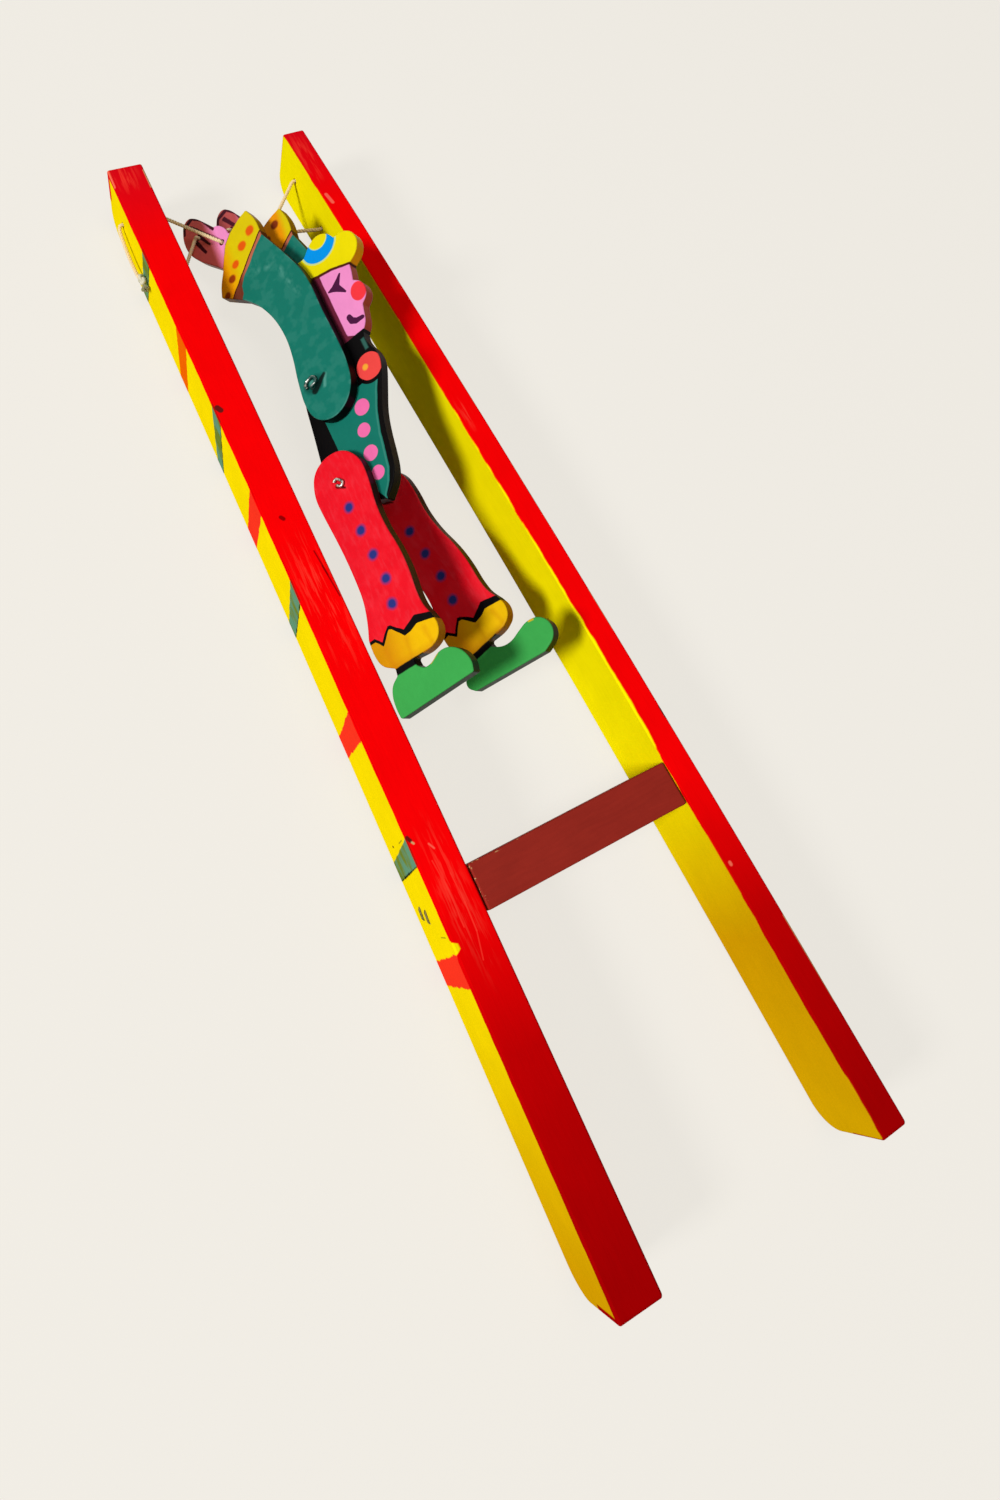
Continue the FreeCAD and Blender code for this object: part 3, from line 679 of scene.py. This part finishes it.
# The rails' painting: each band's place along the rail, half width, slant and paint
BANDS = [
    (134.0, 2.7, -0.15, BAND_GREEN), (100.0, 4.0, 0.08, BAND_ORANGE), (69.2, 3.05, 0.2, BAND_GREEN),
    (39.9, 4.1, 0.01, BAND_RED), (9.6, 3.0, 0.125, BAND_GREEN), (-29.7, 3.8, 0.01, BAND_RED),
    (-65.0, 3.05, 0.095, BAND_GREEN), (-93.9, 3.75, 0.0, BAND_RED)]
# How far the red laps over each rail's seen face, or the yellow onto its rim, for places along it
LEFT_LAP = [
    (-170, 1.5), (-110, 1.4), (-90.6, 1.2), (-89.8, -1.5), (-87.4, -1.4), (-86.4, 0.8), (-78, 0.9),
    (-50, 0.7), (-30, 1.3), (0, 1.3), (20, 0.9), (55, 1.0), (90, 1.3), (120, 1.8), (150, 2.0), (170, 2.2)]
RIGHT_LAP = [
    (-170, 0.4), (-155, 0.5), (-140, 1.0), (-110, 0.4), (-95, 0.0), (-88, 0.6), (-70, 0.6), (-66, -0.4),
    (-50, -0.7), (0, -0.3), (60, 0.1), (120, 0.2), (170, 0.4)]
# How far the handle ends are darkened along each rail
RED_DARKENING = [(-165, 1.0), (-135, 0.85), (-115, 0.73), (-90, 0.28), (-76, 0.0)]
YELLOW_DARKENING = {-1: [(-165, 1.0), (-135, 0.62), (-110, 0.2), (-90, 0.0)],
                1: [(-165, 0.9), (-120, 1.0), (-95, 0.5), (-78, 0.0)]}
# Patches of worn paint and painted glints: centre, half width and half length. Marks: start, end, width and
# paint
LEFT_WEAR_AND_GLINTS = [((0.8, 6.0), 4.6, 17.0), ((-1.0, 166.0), 3.5, 6.0), ((0.5, -78.0), 3.5, 16.0)]
RIGHT_WEAR_AND_GLINTS = [((0.7, 46.0), 1.6, 5.0), ((-0.6, 158.0), 2.6, 9.0)]
LEFT_MARKS = [
    ((-4.4, 72.7, 25.0), (-3.8, 71.6, 25.0), 1.8, CHIP),
    ((-0.5, 32.9, 25.0), (0.0, 32.2, 25.0), 1.2, RED_EDGE),
    ((4.2, 20.0, 25.0), (5.0, 12.0, 25.0), 0.4, RED_EDGE),
    ((4.6, 15.0, 25.0), (5.6, 5.0, 25.0), 0.4, RED_EDGE),
    ((-4.9, -60.5, 25.0), (-4.4, -61.5, 25.0), 1.0, CHIP),
    ((-4.2, -62.0, 25.0), (-3.9, -62.4, 25.0), 0.5, PALE_CHIP),
    ((-1.4, -68.0, 25.0), (-0.6, -76.0, 25.0), 0.2, RED_WEAR_AND_GLINT),
    ((-0.6, -76.0, 25.0), (-0.9, -85.0, 25.0), 0.2, RED_WEAR_AND_GLINT),
    ((1.6, -72.5, 25.0), (1.9, -80.0, 25.0), 0.2, RED_WEAR_AND_GLINT),
    ((1.9, -80.0, 25.0), (1.6, -87.0, 25.0), 0.3, RED_WEAR_AND_GLINT),
    ((1.6, -87.0, 25.0), (0.1, -93.5, 25.0), 0.2, RED_WEAR_AND_GLINT),
    ((-0.4, -64.0, 25.0), (0.4, -65.5, 25.0), 0.4, RED_SCRATCH),
    ((-5.4, 169.4, 24.6), (-5.6, 162.0, 24.6), 0.8, WORN_PINK),
    ((5.6, 166.5, 25.0), (5.6, 159.0, 25.0), 0.7, PALE_CHIP),
    ((-5.4, -60.4, 8.3), (-5.4, -60.2, 7.5), 0.6, CHIP),
    ((-5.4, -60.3, 20.5), (-5.4, -60.5, 16.0), 0.25, OLIVE),
    ((-5.4, -85.5, 21.5), (-5.4, -85.2, 17.0), 0.25, OLIVE)]
RIGHT_MARKS = [
    ((-1.5, 140.0, 25.0), (-0.9, 136.2, 25.0), 1.2, RED_SCRATCH),
    ((5.3, 78.5, 25.0), (5.3, 75.5, 25.0), 0.7, CHIP),
    ((5.7, 16.5, 25.0), (5.7, 13.5, 25.0), 0.6, CHIP),
    ((5.4, -58.0, 25.0), (5.4, -61.0, 25.0), 0.9, CHIP),
    ((-0.9, -100.8, 25.0), (-0.9, -101.3, 25.0), 0.9, WORN_PINK),
    ((5.55, 65.0, 24.8), (5.65, 45.0, 24.8), 0.5, PALE_CHIP),
    ((5.75, 25.0, 24.8), (5.8, 2.0, 24.8), 0.5, PALE_CHIP),
    ((5.75, -20.0, 24.8), (5.75, -33.0, 24.8), 0.7, PALE_CHIP),
    ((4.75, -118.0, 24.8), (4.5, -140.0, 24.8), 0.8, PALE_CHIP)]


def dress_frame():
    """The rails, the crossbar, the two wires and the staples."""
    finish = {"streak": (0.9, 0.06, 0.9), "gloss": 0.0}
    left = rail_paint(-1, BANDS, LEFT_LAP, LEFT_WEAR_AND_GLINTS, LEFT_MARKS)
    right = rail_paint(1, BANDS, RIGHT_LAP, RIGHT_WEAR_AND_GLINTS, RIGHT_MARKS)
    dress("left_rail", enamel("left_rail_enamel", *rail_plane(-1), left, **finish))
    dress("right_rail", enamel("right_rail_enamel", *rail_plane(1), right, **finish))
    still = (Matrix.Identity(3), Vector())
    grain = (0.06, 0.9, 0.9)
    dress("crossbar", enamel("crossbar_enamel", *still, crossbar_paint, grain, roughness=0.5, gloss=0.03))
    dress("hip_wire", wire("bare_steel", STEEL, LEG_SIDE, 0.36, 0.26))
    dress("shoulder_wire", wire("painted_steel", STEEL, DEEP_TEAL, 0.56, 0.3))
    painted_over = wire("staple_steel", OLIVE, OLIVE, 0.5, 0.5)
    for node in ("left_staples", "right_staples"):
        dress(node, painted_over)


# The string's route, in millimetres: each strand runs from inside the left rail to inside the right one
LOWER_STRAND = [
    (-30.0, 134.45, 12.0), (-24.7, 134.35, 12.0), (-23.2, 134.3, 12.0), (-22.3, 135.7, 11.9),
    (-15.1, 146.0, 11.0), (-14.3, 147.1, 10.9), (-13.3, 147.0, 9.9), (-11.1, 146.6, 7.6), (-10.2, 146.4, 6.7),
    (-9.1, 146.6, 7.2), (-3.3, 147.2, 9.9), (-2.2, 147.3, 10.35), (-1.4, 147.2, 9.5), (1.0, 146.8, 7.0),
    (1.85, 146.6, 6.2), (3.1, 146.1, 6.5), (25.3, 136.9, 11.7), (26.7, 136.4, 12.0), (28.2, 136.4, 12.0),
    (32.4, 136.5, 12.0)]
UPPER_STRAND = [
    (-29.6, 156.95, 13.5), (-24.4, 156.85, 13.5), (-22.9, 156.8, 13.5), (-22.0, 155.3, 13.7),
    (-10.4, 139.1, 16.8), (-9.55, 138.0, 17.05), (-8.6, 137.8, 16.1), (-6.3, 137.4, 13.7),
    (-5.45, 137.3, 12.9), (-4.4, 137.3, 13.3), (0.6, 137.4, 15.4), (1.75, 137.45, 15.9), (2.6, 137.3, 15.0),
    (5.0, 136.9, 12.6), (5.8, 136.8, 11.7), (6.8, 137.8, 11.8), (24.8, 156.6, 13.7), (25.8, 157.65, 13.8),
    (27.3, 157.7, 13.8), (31.8, 157.8, 13.8)]
LEFT_OUTSIDE = [
    (-31.5, 134.5, 12.0), (-35.8, 134.6, 12.0), (-37.9, 134.6, 12.0), (-38.5, 136.1, 11.6),
    (-38.4, 145.0, 10.8), (-37.9, 155.6, 12.4), (-37.3, 157.1, 13.5), (-35.4, 157.1, 13.5),
    (-31.2, 157.0, 13.5)]
RIGHT_OUTSIDE = [
    (31.5, 136.5, 12.0), (34.7, 136.55, 12.0), (36.15, 136.6, 12.0), (36.1, 138.1, 12.1),
    (35.3, 156.4, 13.7), (35.25, 157.9, 13.8), (33.8, 157.85, 13.8), (30.5, 157.8, 13.8)]
# The string's make: its plies, their distance from its middle line and the length of one twist
PLIES = 3
PLY_RADIUS = 0.35
PLY_OFFSET = 0.31
PLY_LAY = 3.2
STEP = 0.3
KNOT_CENTRE = Vector((-38.0, 134.2, 12.6))
KNOT_RADIUS = 0.7
FIBRE_RADIUS = 0.13
# Where the strands' stretches part, across the rails
LEFT_MIDDLE = -19.0
RIGHT_MIDDLE = 15.0
NEAR_HAND = {"lower": -12.6, "upper": -7.9}
FAR_HAND = {"lower": 0.2, "upper": 4.2}


def centreline(points):
    """Places along the smooth spline that has these control points, in millimetres."""
    curve = bpy.data.curves.new("route", "CURVE")
    curve.dimensions = "3D"
    curve.resolution_u = 24
    spline = curve.splines.new("NURBS")
    spline.points.add(len(points) - 1)
    for point, place in zip(spline.points, points):
        point.co = (*place, 1)
    spline.order_u = 3
    spline.use_endpoint_u = True
    holder = bpy.data.objects.new("route", curve)
    mesh = bpy.data.meshes.new_from_object(holder)
    rough = [vertex.co.copy() for vertex in mesh.vertices]
    bpy.data.objects.remove(holder)
    bpy.data.meshes.remove(mesh)
    return evenly(rough)


def evenly(rough):
    """The same line with places one step apart."""
    places = [rough[0]]
    left = STEP
    for a, b in zip(rough, rough[1:]):
        span = (b - a).length
        while span > left:
            a = a + (b - a).normalized() * left
            places.append(a.copy())
            span -= left
            left = STEP
        left -= span
    return places


def plied(places):
    """The lines of the plies that are twisted round a centreline."""
    lines = [[] for _ in range(PLIES)]
    side = Vector((0, 0, 1))
    for i, place in enumerate(places):
        along = (places[min(i + 1, len(places) - 1)] - places[max(i - 1, 0)]).normalized()
        side = (side - along * side.dot(along)).normalized()
        other = along.cross(side)
        for k, line in enumerate(lines):
            angle = 2 * math.pi * (i * STEP / PLY_LAY + k / PLIES)
            line.append(place + (side * math.cos(angle) + other * math.sin(angle)) * PLY_OFFSET)
    return lines


def tubes(name, lines, radius, material):
    """One mesh of closed round tubes along several lines."""
    curve = bpy.data.curves.new(name, "CURVE")
    curve.dimensions = "3D"
    curve.bevel_depth = radius * MM
    curve.bevel_resolution = 1
    curve.use_fill_caps = True
    for line in lines:
        spline = curve.splines.new("POLY")
        spline.points.add(len(line) - 1)
        for point, place in zip(spline.points, line):
            point.co = (*(place * MM), 1)
    holder = bpy.data.objects.new(name + "_line", curve)
    mesh = bpy.data.meshes.new_from_object(holder)
    bpy.data.objects.remove(holder)
    mesh.name = name
    for face in mesh.polygons:
        face.use_smooth = True
    mesh.materials.clear()
    mesh.materials.append(material)
    piece = bpy.data.objects.new(name, mesh)
    bpy.context.scene.collection.objects.link(piece)
    return piece


def between(lines, places, low, high):
    """The stretch of each ply whose centreline lies between two places across the rails."""
    keep = [i for i, place in enumerate(places) if low <= place.x <= high]
    first, last = max(keep[0] - 1, 0), keep[-1] + 1
    return [line[first:last + 1] for line in lines]


def knot_line():
    """A pulled-tight overhand knot, lying flat on the rail's outer face."""
    line = []
    turns = 60
    for i in range(turns + 1):
        t = 2 * math.pi * i / turns
        out = 0.5 * math.sin(3 * t)
        across = 0.5 * (math.sin(t) + 2 * math.sin(2 * t))
        up = 0.36 * (math.cos(t) - 2 * math.cos(2 * t))
        line.append(KNOT_CENTRE + Vector((out, across, up)))
    return line


def frayed(start, aim, count, length, seed):
    """Loose fibres that fan out of a cut end."""
    draw = random.Random(seed)
    lines = []
    for _ in range(count):
        way = Vector(aim).normalized()
        bend = Vector([draw.uniform(-1, 1) for _ in range(3)]) * 0.5
        place = Vector(start) + bend * 0.5
        line = [place.copy()]
        for _ in range(7):
            way = (way + bend * 0.16).normalized()
            place = place + way * (length * draw.uniform(0.8, 1.1) / 7)
            line.append(place.copy())
        lines.append(line)
    return lines


def make_string():
    """The string's stretches, each on the body that carries it, and those between two bodies left loose in
    place.
    """
    string = twine("natural_string", paint(246, 224, 184), paint(212, 184, 138))
    knotted = twine("knotted_string", paint(228, 224, 204), paint(186, 178, 148))
    soiled = twine("soiled_string", paint(176, 172, 134), paint(122, 118, 80))
    strands = []
    for name, points in (("lower", LOWER_STRAND), ("upper", UPPER_STRAND)):
        places = centreline(points)
        strands.append((places, plied(places), NEAR_HAND[name], FAR_HAND[name]))

    def stretch(name, ends):
        lines = []
        for places, plies, near, far in strands:
            low, high = ends(near, far)
            lines += between(plies, places, low, high)
        return tubes(name, lines, PLY_RADIUS, string)

    left = stretch("string_left_rail_side", lambda near, far: (-40, LEFT_MIDDLE))
    left_hand = stretch("string_near_hand_side", lambda near, far: (LEFT_MIDDLE, near))
    hands = stretch("string_in_hands", lambda near, far: (near, far))
    right_hand = stretch("string_far_hand_side", lambda near, far: (far, RIGHT_MIDDLE))
    right = stretch("string_right_rail_side", lambda near, far: (RIGHT_MIDDLE, 40))
    outer_left = tubes("string_left_outside", plied(centreline(LEFT_OUTSIDE)), PLY_RADIUS, string)
    outer_right = tubes("string_right_outside", plied(centreline(RIGHT_OUTSIDE)), PLY_RADIUS, string)
    knot = tubes("string_knot", [knot_line()], KNOT_RADIUS, knotted)
    tails = frayed((-37.9, 132.5, 12.4), (-0.1, -0.9, 0.1), 34, 2.7, 3)
    tails += frayed((-38.1, 132.7, 12.0), (-0.3, -0.5, -0.6), 20, 1.9, 8)
    fray = tubes("string_frayed_ends", tails, FIBRE_RADIUS, soiled)

    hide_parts("string")
    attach(hands, "near_arm")
    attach(outer_left, "left_rail")
    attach(knot, "left_rail")
    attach(fray, "left_rail")
    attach(outer_right, "right_rail")
    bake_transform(left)
    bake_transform(right)
    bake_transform(left_hand)
    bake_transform(right_hand)


def shown(tree):
    """1 where the camera, gloss or glass looks straight at a backdrop."""
    path = tree.nodes.new("ShaderNodeLightPath")
    total = Field(tree, path.outputs["Is Camera Ray"]) + Field(tree, path.outputs["Is Glossy Ray"])
    return maths("ADD", total, Field(tree, path.outputs["Is Transmission Ray"]), clamp=True)


def make_floor():
    """A pale floor that looks as bright as the backdrop and keeps the toy's shadow."""
    just_below = Matrix.Translation((0, 0, -0.2 * MM))
    shape = bmesh.new()
    bmesh.ops.create_grid(shape, x_segments=1, y_segments=1, size=6.0, matrix=just_below)
    mesh = bpy.data.meshes.new("floor")
    shape.to_mesh(mesh)
    shape.free()
    floor = bpy.data.objects.new("floor", mesh)
    bpy.context.scene.collection.objects.link(floor)
    material = bpy.data.materials.new("pale_floor")
    material.use_nodes = True
    tree = material.node_tree
    shader = tree.nodes["Principled BSDF"]
    tree.links.new(over(FLOOR, BACKDROP, shown(tree)).socket, shader.inputs["Base Color"])
    shader.inputs["Roughness"].default_value = 0.9
    shader.inputs["Specular IOR Level"].default_value = 0.0
    glow = tree.nodes.new("ShaderNodeEmission")
    glow.inputs["Color"].default_value = BACKDROP
    mix = tree.nodes.new("ShaderNodeMixShader")
    tree.links.new((shown(tree) * 0.87).socket, mix.inputs[0])
    tree.links.new(shader.outputs[0], mix.inputs[1])
    tree.links.new(glow.outputs[0], mix.inputs[2])
    tree.links.new(mix.outputs[0], tree.nodes["Material Output"].inputs["Surface"])
    mesh.materials.append(material)


def area_light(name, place, aim, size, power):
    light = bpy.data.lights.new(name, "AREA")
    light.shape = "DISK"
    light.size = size
    light.energy = power
    holder = bpy.data.objects.new(name, light)
    holder.location = place
    holder.rotation_euler = (Vector(aim) - Vector(place)).to_track_quat("-Z", "Y").to_euler()
    bpy.context.scene.collection.objects.link(holder)


def light_scene():
    """A dim pale room, a soft lamp from the left and a weak one from above."""
    world = bpy.data.worlds.new("studio")
    world.use_nodes = True
    tree = world.node_tree
    sky = tree.nodes["Background"]
    sky.inputs["Color"].default_value = BACKDROP
    tree.links.new(maths("MULTIPLY_ADD", shown(tree), 0.82, 0.18).socket, sky.inputs["Strength"])
    bpy.context.scene.world = world
    area_light("key", (-1.72, -0.12, 1.3), (0, 0.03, 0), 0.5, 41.0)
    area_light("overhead", (0.05, -0.05, 1.25), (0, 0, 0), 0.5, 3.9)


def aim_camera():
    """The photograph's viewpoint."""
    camera = bpy.data.cameras.new("camera")
    camera.sensor_width = 36
    camera.lens = 23.2228
    camera.shift_x = 0.07866
    camera.shift_y = -0.14493
    camera.clip_start = 0.01
    holder = bpy.data.objects.new("camera", camera)
    holder.location = (-0.096859, -0.070153, 0.272264)
    holder.rotation_euler = Euler([math.radians(a) for a in (25.2869, -9.2292, -26.1235)], "XYZ")
    bpy.context.scene.collection.objects.link(holder)
    bpy.context.scene.camera = holder


dress_figure()
dress_frame()
make_string()
make_floor()
light_scene()
aim_camera()
bpy.context.scene.view_settings.view_transform = "Standard"
